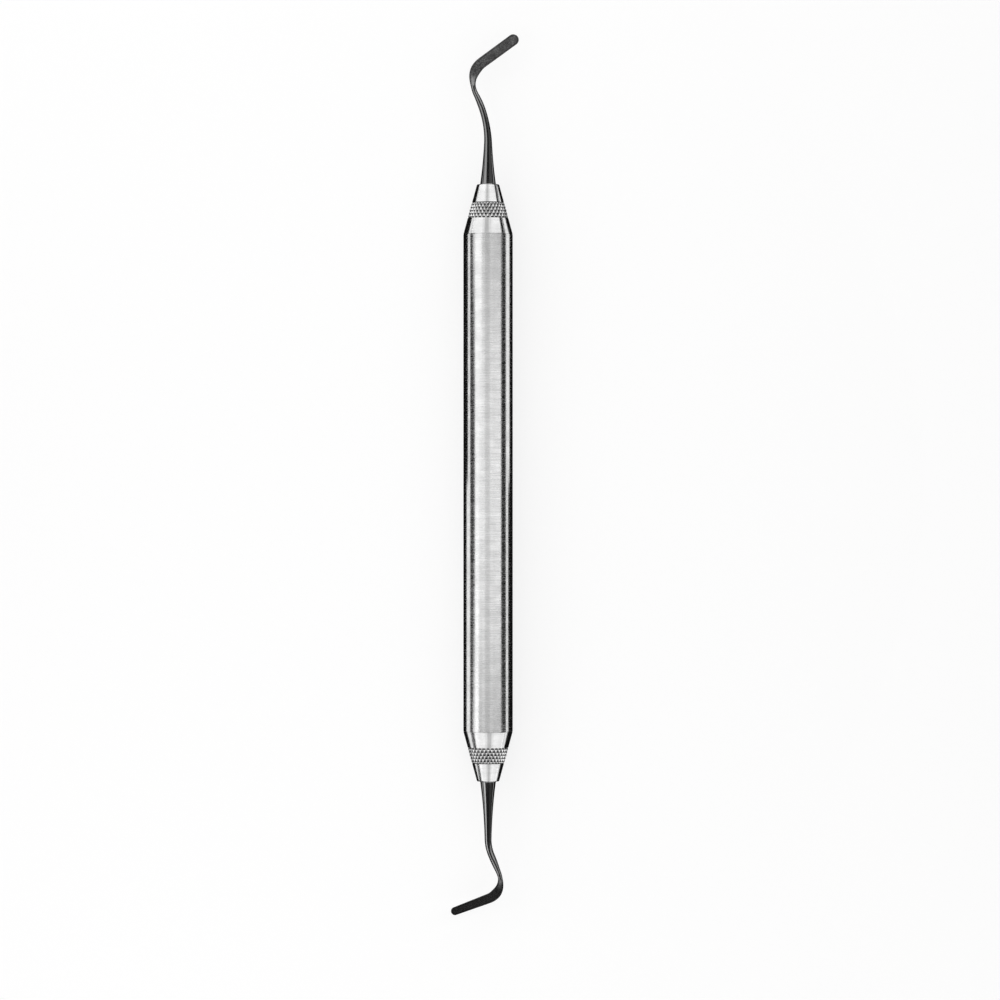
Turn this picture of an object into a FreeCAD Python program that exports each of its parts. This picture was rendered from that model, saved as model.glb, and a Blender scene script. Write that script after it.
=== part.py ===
import FreeCAD, Part
import math
import os
import Sketcher

# A double-ended filling instrument for placing and shaping soft tooth filling.
# A hollow steel handle carries a turned nose cone at each end, with a ring of diamond knurling.
# A black coated working end, a tapered shank that bends into a flat blade, is pressed into each cone.
#
# Frame: the instrument lies on a table, with its two blades level. +Y runs along the handle to the
# upper end, +X is to the right seen from above and +Z is up. The origin is on the table, straight
# below the middle of the handle.

# Driving dimensions: name, size in millimetres or degrees, and what it measures.
SIZES = (
    ("handle_diameter", 9.5, "outside of the handle tube"),
    ("handle_length", 115.0, "from nose face to nose face"),
    ("tube_wall", 0.75, "wall of the handle tube"),
    ("seam_chamfer", 0.08, "edge break where tube and cone meet"),
    ("nose_diameter", 4.25, "small end of the nose cone"),
    ("nose_edge", 0.22, "rounding of the nose face's outer edge"),
    ("cone_length", 9.6, "from nose face to handle tube"),
    ("spigot_length", 6.0, "plug of the cone inside the tube"),
    ("spigot_chamfer", 0.4, "lead-in of the plug"),
    ("band_start", 3.45, "from nose face to knurled ring"),
    ("band_length", 3.05, "knurled ring along the cone"),
    ("band_core_depth", 0.3, "solid core under the knurling, below the cone surface"),
    ("knurl_teeth", 28, "diamonds round the ring"),
    ("knurl_rows", 5, "half diamonds along the ring"),
    ("knurl_depth", 0.2, "valleys below the cone surface"),
    ("knurl_proud", 0.08, "crests above the cone surface"),
    ("knurl_runout", 0.03, "crests below the cone surface at the ring's edges"),
    ("tang_diameter", 3.2, "tang of a working end and its bore"),
    ("tang_length", 12.0, "tang inside the cone"),
    ("tang_chamfer", 0.35, "lead-in of the tang"),
    ("bore_spare", 0.5, "room behind the tang"),
    ("drill_angle", 118.0, "point of the drill that makes the bore"),
    ("shank_diameter", 3.05, "shank where it leaves the nose"),
    ("taper_length", 15.0, "from the nose to the waist of the shank, along its centreline"),
    ("upper_straight", 7.8, "straight tapered shank"),
    ("upper_lean", 26.5, "first bend, away from the blade"),
    ("upper_lean_radius", 20.8, "first bend"),
    ("upper_neck_run", 0.35, "straight stretch between the bends"),
    ("upper_return_radius", 5.65, "bend back to the handle's direction"),
    ("upper_hook", 53.8, "bend from the handle's direction to the blade"),
    ("upper_hook_radius", 4.45, "bend into the blade"),
    ("upper_blade_run", 8.45, "straight blade, to its tip"),
    ("upper_waist", 1.22, "shank at the end of its taper"),
    ("upper_neck", 0.93, "narrowest place, before the blade"),
    ("upper_blade_width", 2.1, "blade after the hook"),
    ("upper_tip_width", 2.15, "blade at its rounded tip"),
    ("lower_straight", 11.0, "straight tapered shank"),
    ("lower_lean", 22.6, "first bend, away from the blade"),
    ("lower_lean_radius", 8.5, "first bend"),
    ("lower_neck_run", 3.65, "straight stretch between the bends"),
    ("lower_return_radius", 4.35, "bend back to the handle's direction"),
    ("lower_hook", 69.5, "bend from the handle's direction to the blade"),
    ("lower_hook_radius", 3.5, "bend into the blade"),
    ("lower_blade_run", 7.7, "straight blade, to its tip"),
    ("lower_waist", 1.25, "shank at the end of its taper"),
    ("lower_neck", 0.88, "narrowest place, before the blade"),
    ("lower_blade_width", 1.93, "blade after the hook"),
    ("lower_tip_width", 1.57, "blade at its rounded tip"),
    ("root_thickness", 0.5, "blade where it leaves the hook"),
    ("tip_thickness", 0.28, "blade near its tip"),
)

ENDS = ("upper", "lower")

# A round section is drawn as two half circles joined by short flats, like the flat sections of the
# blade, so that one loft can run through them all. This is the thickness as a share of the width.
ROUND_SHARE = 0.985

# How many spans of the loft each run of a working end's centreline has. The faces between two
# sections are ruled, so the bends have many short spans, and what is straight has few.
SPAN_COUNTS = {"straight": 4, "lean": 5, "neck": 1, "return": 5, "hook": 8, "blade": 1}

# How quickly the shank tapers: 1 is a plain cone, and more is thinner sooner.
TAPER_POWER = 2.3

# The share of the hook after which the blade has its full width.
WIDE_SHARE_OF_HOOK = 0.66

doc = FreeCAD.newDocument("placement_instrument")
sheet = doc.addObject("Spreadsheet::Sheet", "Sizes")


def fill_sheet():
    """Writes the driving dimensions into the spreadsheet, one alias a row."""
    for row, (name, value, meaning) in enumerate(SIZES, start=1):
        sheet.set(f"A{row}", name)
        sheet.set(f"B{row}", str(value))
        sheet.set(f"C{row}", meaning)
        sheet.setAlias(f"B{row}", name)
    doc.recompute()


def number(expression):
    """The value of an expression of the sheet's aliases, such as 'Sizes.tube_wall * 2'."""
    return float(sheet.evalExpression(str(expression)))


def size(name):
    """The value of one driving dimension."""
    return number(f"Sizes.{name}")


def between(start, end, share):
    """An expression that goes from one expression to another as share goes from 0 to 1."""
    return f"({start}) + (({end}) - ({start})) * {share:.5f}"


def cone_radius(depth):
    """The expression of the cone surface's radius at a depth behind the nose face."""
    growth = f"(Sizes.handle_diameter - Sizes.nose_diameter) * ({depth}) / Sizes.cone_length"
    return f"(Sizes.nose_diameter + {growth}) / 2"


def origin_plane(body, role):
    """A body's own origin plane or axis."""
    return next(f for f in body.Origin.OriginFeatures if f.Role == role)


def new_sketch(body, name, plane="XY_Plane", offset=None):
    """An empty sketch in a body, attached to one of the body's origin planes."""
    sketch = body.newObject("Sketcher::SketchObject", name)
    sketch.AttachmentSupport = [(origin_plane(body, plane), "")]
    sketch.MapMode = "FlatFace"
    if offset is not None:
        sketch.AttachmentOffset = offset
    return sketch


def bind(sketch, constraint, name, expression):
    """Adds a dimension to a sketch and ties it to an expression."""
    index = sketch.addConstraint(constraint)
    sketch.renameConstraint(index, name)
    sketch.setExpression(f"Constraints.{name}", expression)


def draw_outline(sketch, corners):
    """Draws a closed outline of lines, where each corner is a pair of expressions."""
    points = [FreeCAD.Vector(number(x), number(y), 0) for x, y in corners]
    for start, end in zip(points, points[1:] + points[:1]):
        sketch.addGeometry(Part.LineSegment(start, end))
    for line, (x, y) in enumerate(corners):
        previous = (line - 1) % len(corners)
        sketch.addConstraint(Sketcher.Constraint("Coincident", previous, 2, line, 1))
        if x == "0":
            sketch.addConstraint(Sketcher.Constraint("PointOnObject", line, 1, -2))
        else:
            bind(sketch, Sketcher.Constraint("DistanceX", -1, 1, line, 1, number(x)), f"x{line}", x)
        if y == "0":
            sketch.addConstraint(Sketcher.Constraint("PointOnObject", line, 1, -1))
        else:
            bind(sketch, Sketcher.Constraint("DistanceY", -1, 1, line, 1, number(y)), f"y{line}", y)


def draw_circles(sketch, *diameters):
    """Draws circles round the sketch's origin, with diameters given as expressions."""
    for circle, diameter in enumerate(diameters):
        radius = number(diameter) / 2
        sketch.addGeometry(Part.Circle(FreeCAD.Vector(0, 0, 0), FreeCAD.Vector(0, 0, 1), radius))
        sketch.addConstraint(Sketcher.Constraint("Coincident", circle, 3, -1, 1))
        bind(sketch, Sketcher.Constraint("Diameter", circle, 2 * radius), f"diameter{circle}", diameter)


def draw_flat_round(sketch, width, thickness):
    """Draws a section of two flats joined by half circles, centred on the sketch's origin."""
    half_flat = (number(width) - number(thickness)) / 2
    radius = number(thickness) / 2
    normal = FreeCAD.Vector(0, 0, 1)
    quarter = math.pi / 2
    right = Part.Circle(FreeCAD.Vector(half_flat, 0, 0), normal, radius)
    left = Part.Circle(FreeCAD.Vector(-half_flat, 0, 0), normal, radius)
    top = [FreeCAD.Vector(x, radius, 0) for x in (-half_flat, half_flat)]
    bottom = [FreeCAD.Vector(x, -radius, 0) for x in (half_flat, -half_flat)]
    sketch.addGeometry(Part.LineSegment(*top))
    sketch.addGeometry(Part.ArcOfCircle(right, -quarter, quarter))
    sketch.addGeometry(Part.LineSegment(*bottom))
    sketch.addGeometry(Part.ArcOfCircle(left, quarter, 3 * quarter))
    for rule in (
        ("Tangent", 0, 2, 1, 2),
        ("Tangent", 2, 1, 1, 1),
        ("Tangent", 2, 2, 3, 2),
        ("Tangent", 0, 1, 3, 1),
        ("Equal", 1, 3),
        ("Horizontal", 0),
        ("Symmetric", 1, 3, 3, 3, -1, 1),
    ):
        sketch.addConstraint(Sketcher.Constraint(*rule))
    bind(sketch, Sketcher.Constraint("Radius", 1, radius), "radius", f"({thickness}) / 2")
    flat = Sketcher.Constraint("DistanceX", 0, 1, 0, 2, 2 * half_flat)
    bind(sketch, flat, "flat", f"({width}) - ({thickness})")


def draw_half_section(sketch, width, thickness):
    """Draws the right half of that section, with its straight side on the sketch's vertical axis."""
    flat = (number(width) - number(thickness)) / 2
    radius = number(thickness) / 2
    quarter = math.pi / 2
    edge = Part.Circle(FreeCAD.Vector(flat, 0, 0), FreeCAD.Vector(0, 0, 1), radius)
    places = ((flat, radius), (0, radius), (0, -radius), (flat, -radius))
    corners = [FreeCAD.Vector(x, y, 0) for x, y in places]
    for start, end in zip(corners, corners[1:]):
        sketch.addGeometry(Part.LineSegment(start, end))
    sketch.addGeometry(Part.ArcOfCircle(edge, -quarter, quarter))
    for rule in (
        ("Coincident", 0, 2, 1, 1),
        ("Coincident", 1, 2, 2, 1),
        ("Tangent", 2, 2, 3, 1),
        ("Tangent", 0, 1, 3, 2),
        ("Horizontal", 0),
        ("PointOnObject", 1, 1, -2),
        ("Symmetric", 1, 1, 1, 2, -1, 1),
    ):
        sketch.addConstraint(Sketcher.Constraint(*rule))
    bind(sketch, Sketcher.Constraint("Radius", 3, radius), "radius", f"({thickness}) / 2")
    length = Sketcher.Constraint("DistanceX", 0, 2, 0, 1, flat)
    bind(sketch, length, "flat", f"(({width}) - ({thickness})) / 2")


def round_edges(shape, radius, height):
    """Names of a shape's circular edges of one radius, at one height along Y."""
    names = []
    for index, edge in enumerate(shape.Edges, start=1):
        if not isinstance(edge.Curve, Part.Circle):
            continue
        if abs(edge.Curve.Radius - radius) < 1e-6 and abs(edge.Curve.Center.y - height) < 1e-6:
            names.append(f"Edge{index}")
    return names


def dress_edges(body, kind, name, base, places, amount):
    """Rounds or chamfers round edges, which places gives as pairs of radius and height along Y."""
    doc.recompute()
    edges = [edge for radius, height in places for edge in round_edges(base.Shape, radius, height)]
    feature = body.newObject(f"PartDesign::{kind}", name)
    feature.Base = (base, edges)
    feature.setExpression("Radius" if kind == "Fillet" else "Size", amount)
    return feature


def seat(item, end, turned):
    """Puts a piece on the handle's axis with its origin at one end's nose face."""
    item.Placement = FreeCAD.Placement(
        FreeCAD.Vector(0, 0, 0),
        FreeCAD.Rotation(FreeCAD.Vector(0, 0, 1), 180 if turned else 0),
    )
    sign = "" if end == "upper" else "-"
    item.setExpression("Placement.Base.y", f"{sign}Sizes.handle_length / 2")
    item.setExpression("Placement.Base.z", "Sizes.handle_diameter / 2")


def build_tube():
    """The handle tube, with its two mouths chamfered where the cones meet it."""
    body = doc.addObject("PartDesign::Body", "handle_tube")
    ring = new_sketch(body, "tube_ring", "XZ_Plane")
    bore = "Sizes.handle_diameter - 2 * Sizes.tube_wall"
    draw_circles(ring, "Sizes.handle_diameter", bore)
    length = "Sizes.handle_length - 2 * Sizes.cone_length"
    pad = body.newObject("PartDesign::Pad", "tube_pad")
    pad.Profile = ring
    pad.Midplane = True
    pad.setExpression("Length", length)
    half = number(length) / 2
    rims = [(size("handle_diameter") / 2, height) for height in (-half, half)]
    dress_edges(body, "Chamfer", "tube_rims", pad, rims, "Sizes.seam_chamfer")
    body.setExpression("Placement.Base.z", "Sizes.handle_diameter / 2")
    return body


def build_turned_cone(end):
    """The nose cone as it comes off the lathe: cone, groove for the knurled ring, shoulder and plug."""
    body = doc.addObject("PartDesign::Body", f"{end}_turned_cone")
    band_end = "Sizes.band_start + Sizes.band_length"
    plug = "Sizes.handle_diameter / 2 - Sizes.tube_wall"
    plug_end = "Sizes.cone_length + Sizes.spigot_length"
    corners = (
        ("0", "0"),
        ("Sizes.nose_diameter / 2", "0"),
        (cone_radius("Sizes.band_start"), "Sizes.band_start"),
        (f"{cone_radius('Sizes.band_start')} - Sizes.band_core_depth", "Sizes.band_start"),
        (f"{cone_radius(band_end)} - Sizes.band_core_depth", band_end),
        (cone_radius(band_end), band_end),
        ("Sizes.handle_diameter / 2", "Sizes.cone_length"),
        (plug, "Sizes.cone_length"),
        (plug, plug_end),
        ("0", plug_end),
    )
    sketch = new_sketch(body, f"{end}_cone_outline")
    draw_outline(sketch, corners)
    turned = body.newObject("PartDesign::Revolution", f"{end}_turning")
    turned.Profile = sketch
    turned.ReferenceAxis = (sketch, ["V_Axis"])
    turned.Angle = 360
    nose = [(size("nose_diameter") / 2, 0.0)]
    rounded = dress_edges(body, "Fillet", f"{end}_nose_edge", turned, nose, "Sizes.nose_edge")
    shoulder = [(size("handle_diameter") / 2, size("cone_length"))]
    seamed = dress_edges(body, "Chamfer", f"{end}_seam", rounded, shoulder, "Sizes.seam_chamfer")
    plug_rim = [(number(plug), number(plug_end))]
    dress_edges(body, "Chamfer", f"{end}_plug_rim", seamed, plug_rim, "Sizes.spigot_chamfer")
    return body


def knurl_point(column, level):
    """A corner of the knurling: a crest where column and level add up to an odd number, else a valley."""
    teeth = int(size("knurl_teeth"))
    rows = int(size("knurl_rows"))
    depth = size("band_start") + size("band_length") * level / rows
    if (column + level) % 2 == 0:
        rise = -size("knurl_depth")
    elif level in (0, rows):
        rise = -size("knurl_runout")
    else:
        rise = size("knurl_proud")
    radius = number(cone_radius(str(depth))) + rise
    angle = math.pi * (column % (2 * teeth)) / teeth
    return FreeCAD.Vector(radius * math.sin(angle), depth, radius * math.cos(angle))


def knurl_solid():
    """A plug whose side is crossed V grooves: each diamond between them is a four-sided pyramid."""
    columns = 2 * int(size("knurl_teeth"))
    rows = int(size("knurl_rows"))
    faces = []
    for level in range(rows + 1):
        for column in range(columns):
            if (column + level) % 2 == 0:
                continue
            crest = knurl_point(column, level)
            corners = [(column, level - 1), (column + 1, level), (column, level + 1), (column - 1, level)]
            for start, end in zip(corners, corners[1:] + corners[:1]):
                if 0 <= start[1] <= rows and 0 <= end[1] <= rows:
                    triangle = [crest, knurl_point(*start), knurl_point(*end), crest]
                    faces.append(Part.Face(Part.makePolygon(triangle)))
    for level in (0, rows):
        rim = [knurl_point(column, level) for column in range(columns)]
        faces.append(Part.Face(Part.makePolygon(rim + rim[:1])))
    solid = Part.Solid(Part.makeShell(faces))
    if solid.Volume < 0:
        solid.reverse()
    return solid


def build_drill(end):
    """The drill that bores the cone for the tang: a cylinder with a pointed end."""
    turn = FreeCAD.Rotation(FreeCAD.Vector(1, 0, 0), -90)
    shaft = doc.addObject("Part::Cylinder", f"{end}_drill_shaft")
    shaft.Placement = FreeCAD.Placement(FreeCAD.Vector(0, 0, 0), turn)
    shaft.setExpression("Radius", "Sizes.tang_diameter / 2")
    shaft.setExpression("Height", "Sizes.tang_length + Sizes.bore_spare")
    point = doc.addObject("Part::Cone", f"{end}_drill_point")
    point.Placement = FreeCAD.Placement(FreeCAD.Vector(0, 0, 0), turn)
    point.setExpression("Placement.Base.y", "Sizes.tang_length + Sizes.bore_spare")
    point.setExpression("Radius1", "Sizes.tang_diameter / 2")
    point.Radius2 = 0
    point.setExpression("Height", "Sizes.tang_diameter / 2 / tan(Sizes.drill_angle / 2 * 1 deg)")
    drill = doc.addObject("Part::Fuse", f"{end}_drill")
    drill.Base = shaft
    drill.Tool = point
    return drill


def build_cone(end):
    """A nose cone: turned, given its ring of diamond knurling, and bored for the tang."""
    turned = build_turned_cone(end)
    knurl = doc.addObject("Part::Feature", f"{end}_knurl")
    knurl.Shape = knurl_solid()
    knurled = doc.addObject("Part::Fuse", f"{end}_knurled_cone")
    knurled.Base = turned
    knurled.Tool = knurl
    cone = doc.addObject("Part::Cut", f"{end}_nose_cone")
    cone.Base = knurled
    cone.Tool = build_drill(end)
    seat(cone, end, turned=end == "upper")
    return cone


def centreline_runs(end):
    """The runs of a working end's centreline from the nose, each a length and a turn to the left."""
    lean = math.radians(size(f"{end}_lean"))
    hook = math.radians(size(f"{end}_hook"))
    return {
        "straight": (size(f"{end}_straight"), 0.0),
        "lean": (size(f"{end}_lean_radius") * lean, lean),
        "neck": (size(f"{end}_neck_run"), 0.0),
        "return": (size(f"{end}_return_radius") * lean, -lean),
        "hook": (size(f"{end}_hook_radius") * hook, -hook),
        "blade": (size(f"{end}_blade_run"), 0.0),
    }


def tip_distance(end):
    """How far along the centreline the middle of the blade's rounded tip lies."""
    full_length = sum(length for length, turn in centreline_runs(end).values())
    return full_length - size(f"{end}_tip_width") / 2


def section_distances(end):
    """How far along the centreline the sections of the loft stand, from the nose to the tip."""
    distances = [0.0]
    for name, (length, turn) in centreline_runs(end).items():
        start = distances[-1]
        stop = tip_distance(end) if name == "blade" else start + length
        spans = SPAN_COUNTS[name]
        distances += [start + (stop - start) * (span + 1) / spans for span in range(spans)]
    return distances


def section_place(end, distance):
    """Where a section stands: its middle on the centreline, and its plane square to it."""
    point = FreeCAD.Vector(0, 0, 0)
    heading = math.pi / 2
    for length, turn in centreline_runs(end).values():
        step = min(distance, length)
        angle = turn * step / length
        chord = step if turn == 0 else 2 * length / turn * math.sin(angle / 2)
        middle = heading + angle / 2
        point += FreeCAD.Vector(math.cos(middle), math.sin(middle), 0) * chord
        heading += angle
        distance -= step
    across = FreeCAD.Vector(math.sin(heading), -math.cos(heading), 0)
    up = FreeCAD.Vector(0, 0, 1)
    return FreeCAD.Placement(point, FreeCAD.Rotation(across, up, across.cross(up), "XYZ"))


def ease(share):
    """A share from 0 to 1 that starts and stops gently."""
    share = min(1.0, max(0.0, share))
    return share * share * (3 - 2 * share)


def section_widths(end, distance):
    """The expressions of a section's width and thickness at a distance along the centreline."""
    lengths = {name: length for name, (length, turn) in centreline_runs(end).items()}
    waist_at = size("taper_length")
    return_at = lengths["straight"] + lengths["lean"] + lengths["neck"]
    neck_at = return_at + lengths["return"] / 2
    hook_at = return_at + lengths["return"]
    wide_at = hook_at + lengths["hook"] * WIDE_SHARE_OF_HOOK
    root_at = hook_at + lengths["hook"]
    tip_at = tip_distance(end)
    waist, neck = f"Sizes.{end}_waist", f"Sizes.{end}_neck"
    wide, tip = f"Sizes.{end}_blade_width", f"Sizes.{end}_tip_width"
    if distance <= waist_at:
        width = between(waist, "Sizes.shank_diameter", (1 - distance / waist_at) ** TAPER_POWER)
    elif distance <= neck_at:
        width = between(waist, neck, ease((distance - waist_at) / (neck_at - waist_at)))
    elif distance <= wide_at:
        width = between(neck, wide, ease((distance - neck_at) / (wide_at - neck_at)))
    else:
        width = between(wide, tip, (distance - wide_at) / (tip_at - wide_at))
    round_neck = f"{neck} * {ROUND_SHARE}"
    if distance <= neck_at:
        thickness = f"({width}) * {ROUND_SHARE}"
    elif distance <= root_at:
        thinning = ease((distance - neck_at) / (root_at - neck_at))
        thickness = between(round_neck, "Sizes.root_thickness", thinning)
    else:
        thinning = (distance - root_at) / (tip_at - root_at)
        thickness = between("Sizes.root_thickness", "Sizes.tip_thickness", thinning)
    return width, thickness


def build_working_end(end):
    """A working end: a tang, one loft from the round shank to the flat blade, and a rounded tip."""
    body = doc.addObject("PartDesign::Body", f"{end}_working_end")
    tang_circle = new_sketch(body, f"{end}_tang_circle", "XZ_Plane")
    draw_circles(tang_circle, "Sizes.tang_diameter")
    tang = body.newObject("PartDesign::Pad", f"{end}_tang")
    tang.Profile = tang_circle
    tang.setExpression("Length", "Sizes.tang_length")
    inner_rim = [(size("tang_diameter") / 2, -size("tang_length"))]
    dress_edges(body, "Chamfer", f"{end}_tang_rim", tang, inner_rim, "Sizes.tang_chamfer")
    tip_at = tip_distance(end)
    sections = []
    for index, distance in enumerate(section_distances(end)):
        sketch = new_sketch(body, f"{end}_section_{index}", offset=section_place(end, distance))
        draw_flat_round(sketch, *section_widths(end, distance))
        sections.append(sketch)
    loft = body.newObject("PartDesign::AdditiveLoft", f"{end}_shank_and_blade")
    loft.Profile = sections[0]
    loft.Sections = sections[1:]
    loft.Ruled = True
    tip_section = new_sketch(body, f"{end}_tip_section", offset=section_place(end, tip_at))
    draw_half_section(tip_section, *section_widths(end, tip_at))
    tip = body.newObject("PartDesign::Revolution", f"{end}_rounded_tip")
    tip.Profile = tip_section
    tip.ReferenceAxis = (tip_section, ["V_Axis"])
    tip.Angle = 180
    doc.recompute()
    if tip.Shape.Volume <= loft.Shape.Volume:
        raise RuntimeError(f"the {end} blade's rounded tip points into the blade")
    seat(body, end, turned=end == "lower")
    return body


def check(item):
    """Stops the build if a piece failed or isn't one sound solid."""
    if item.Shape.isNull() or not item.Shape.isValid():
        raise RuntimeError(f"{item.Label} has no valid shape")
    if len(item.Shape.Solids) != 1:
        raise RuntimeError(f"{item.Label} has {len(item.Shape.Solids)} solids")


def main():
    """Builds every piece, checks it and writes it to the parts folder."""
    fill_sheet()
    pieces = [build_tube()]
    for end in ENDS:
        pieces.append(build_cone(end))
        pieces.append(build_working_end(end))
    doc.recompute()
    for item in doc.Objects:
        if {"Invalid", "Error"} & set(item.State):
            raise RuntimeError(f"{item.Label} failed: {item.State}")
    for piece in pieces:
        check(piece)
    os.makedirs("parts", exist_ok=True)
    for piece in pieces:
        piece.Shape.exportStep(f"parts/{piece.Label}.step")
        box = piece.Shape.BoundBox
        extents = f"{box.XLength:.2f} x {box.YLength:.2f} x {box.ZLength:.2f} mm"
        print(f"{piece.Label}: {piece.Shape.Volume:.1f} mm3, {extents}")


main()
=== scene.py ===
import logging
import math
from dataclasses import dataclass, field
from enum import Enum

import bmesh
import bpy
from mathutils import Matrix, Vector


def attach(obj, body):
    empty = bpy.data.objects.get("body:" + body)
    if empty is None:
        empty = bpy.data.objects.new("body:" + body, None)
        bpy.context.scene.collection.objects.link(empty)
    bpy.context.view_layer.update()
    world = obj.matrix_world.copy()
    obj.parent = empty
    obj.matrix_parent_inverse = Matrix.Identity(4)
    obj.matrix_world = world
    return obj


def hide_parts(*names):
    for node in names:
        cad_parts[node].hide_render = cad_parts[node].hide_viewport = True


# A double-ended filling instrument, dressed in brushed steel and a black coating. The pieces are
# sized in millimetres and degrees, and each is turned into a mesh in metres. The studio's lamps,
# cards and floor are placed in metres.

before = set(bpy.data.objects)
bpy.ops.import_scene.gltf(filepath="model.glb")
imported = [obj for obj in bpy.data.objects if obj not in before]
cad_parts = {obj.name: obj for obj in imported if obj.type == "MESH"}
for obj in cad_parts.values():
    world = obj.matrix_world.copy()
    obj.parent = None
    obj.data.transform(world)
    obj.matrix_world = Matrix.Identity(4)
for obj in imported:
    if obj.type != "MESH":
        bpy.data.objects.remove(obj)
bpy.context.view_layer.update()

MM = 0.001
MM_PER_METRE = 1000.0

# What more than one piece is made to, in millimetres.
HANDLE_RADIUS = 4.75
NOSE_PLACE = 57.5
CONE_LENGTH = 9.6
SEAM_CHAMFER = 0.08
PLUG_RADIUS = 4.0
TANG_RADIUS = 1.6
TANG_LENGTH = 12.0

# A pair is a range, a point of an outline, or a value and the run over which it fades.
Pair = tuple[float, float]
Point = tuple[float, float, float]
Colour = tuple[float, float, float, float]
Socket = bpy.types.NodeSocket

log = logging.getLogger("placement_instrument")


class End(Enum):
    """The two ends of the handle. The value is the direction of the end along Y."""

    UPPER = 1
    LOWER = -1

    @property
    def label(self) -> str:
        """The end's name as the CAD nodes have it."""
        return self.name.lower()


class Slot(Enum):
    """The record's material slots."""

    STEEL = "satin_steel"
    COATING = "black_coating"


class Mask(Enum):
    """Values that the meshes carry at their points, for the materials to read."""

    HEIGHT = "height"
    LEE = "lee"
    BLADE = "blade"
    BARE = "bare"
    RIM = "rim"


def ease(share: float) -> float:
    """Gives a share from 0 to 1 a gentle start and stop.

    Args:
        share: How far along, which may lie outside 0 to 1.

    Returns:
        The eased share, from 0 to 1.
    """
    share = min(1.0, max(0.0, share))
    return share * share * (3.0 - 2.0 * share)


def between(start: float, stop: float, share: float) -> float:
    """Goes from one number to another.

    Args:
        start: The number at share 0.
        stop: The number at share 1.
        share: How far along.

    Returns:
        The number at that share.
    """
    return start + (stop - start) * share


def round_axis(radius: float, angle: float, place: float) -> Point:
    """Gives a point round the handle's axis.

    Args:
        radius: How far it is from the axis.
        angle: Its angle from the top, in radians.
        place: Its place along the axis.

    Returns:
        The point.
    """
    return (radius * math.sin(angle), place, HANDLE_RADIUS + radius * math.cos(angle))


@dataclass
class Skin:
    """A mesh that is being made: its points in millimetres, its faces and its masks."""

    points: list[Point] = field(default_factory=list)
    faces: list[tuple[int, ...]] = field(default_factory=list)
    masks: dict[Mask, list[float]] = field(default_factory=dict)

    def add(self, points: list[Point], **masks: list[float] | float) -> list[int]:
        """Adds points and the values of their masks.

        Args:
            points: The new points.
            **masks: A value for all points or one for each, by the mask's name.

        Returns:
            The indices of the new points.
        """
        first = len(self.points)
        self.points.extend(points)
        for mask, values in self.masks.items():
            given = masks.get(mask.value, 0.0)
            values.extend(given if isinstance(given, list) else [given] * len(points))
        return list(range(first, len(self.points)))

    def bridge(self, first: list[int], second: list[int], closed: bool = True) -> None:
        """Joins two rows of points by four-sided faces.

        Args:
            first: The indices of one row.
            second: The indices of the other row, as many.
            closed: Whether the rows are rings.
        """
        count = len(first)
        for here in range(count if closed else count - 1):
            after = (here + 1) % count
            self.faces.append((first[here], first[after], second[after], second[here]))

    def fan(self, ring: list[int], pole: int) -> None:
        """Closes a ring by triangles to one point.

        Args:
            ring: The indices of the ring.
            pole: The index of the point.
        """
        for here, index in enumerate(ring):
            self.faces.append((index, ring[(here + 1) % len(ring)], pole))

    def finish(self, name: str, sharp: float) -> bpy.types.Object:
        """Makes the mesh object.

        Args:
            name: The object's name.
            sharp: The angle in degrees from which an edge is sharp.

        Returns:
            The object, with its normals outward and its edges smooth or sharp.
        """
        mesh = bpy.data.meshes.new(name)
        mesh.from_pydata([(x * MM, y * MM, z * MM) for x, y, z in self.points], [], self.faces)
        for mask, values in self.masks.items():
            mesh.attributes.new(mask.value, "FLOAT", "POINT").data.foreach_set("value", values)
        shape = bmesh.new()
        shape.from_mesh(mesh)
        bmesh.ops.recalc_face_normals(shape, faces=shape.faces)
        shape.to_mesh(mesh)
        shape.free()
        mesh.shade_smooth()
        mesh.set_sharp_from_angle(angle=math.radians(sharp))
        item = bpy.data.objects.new(name, mesh)
        bpy.context.scene.collection.objects.link(item)
        return item


def install(item: bpy.types.Object, node: str, material: bpy.types.Material) -> None:
    """Puts a finished piece in the place of its CAD node.

    Args:
        item: The piece.
        node: The CAD node that it stands for.
        material: The piece's finish.
    """
    item.data.materials.append(material)
    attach(item, "root")
    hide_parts(node)
    log.info("%s: %d faces in place of %s", item.name, len(item.data.polygons), node)


# Node graphs

# The Mix node's inputs for the share and two colours, and its output for the mixed colour.
MIX_INPUTS = (0, 6, 7)
MIX_OUTPUT = 2


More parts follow.
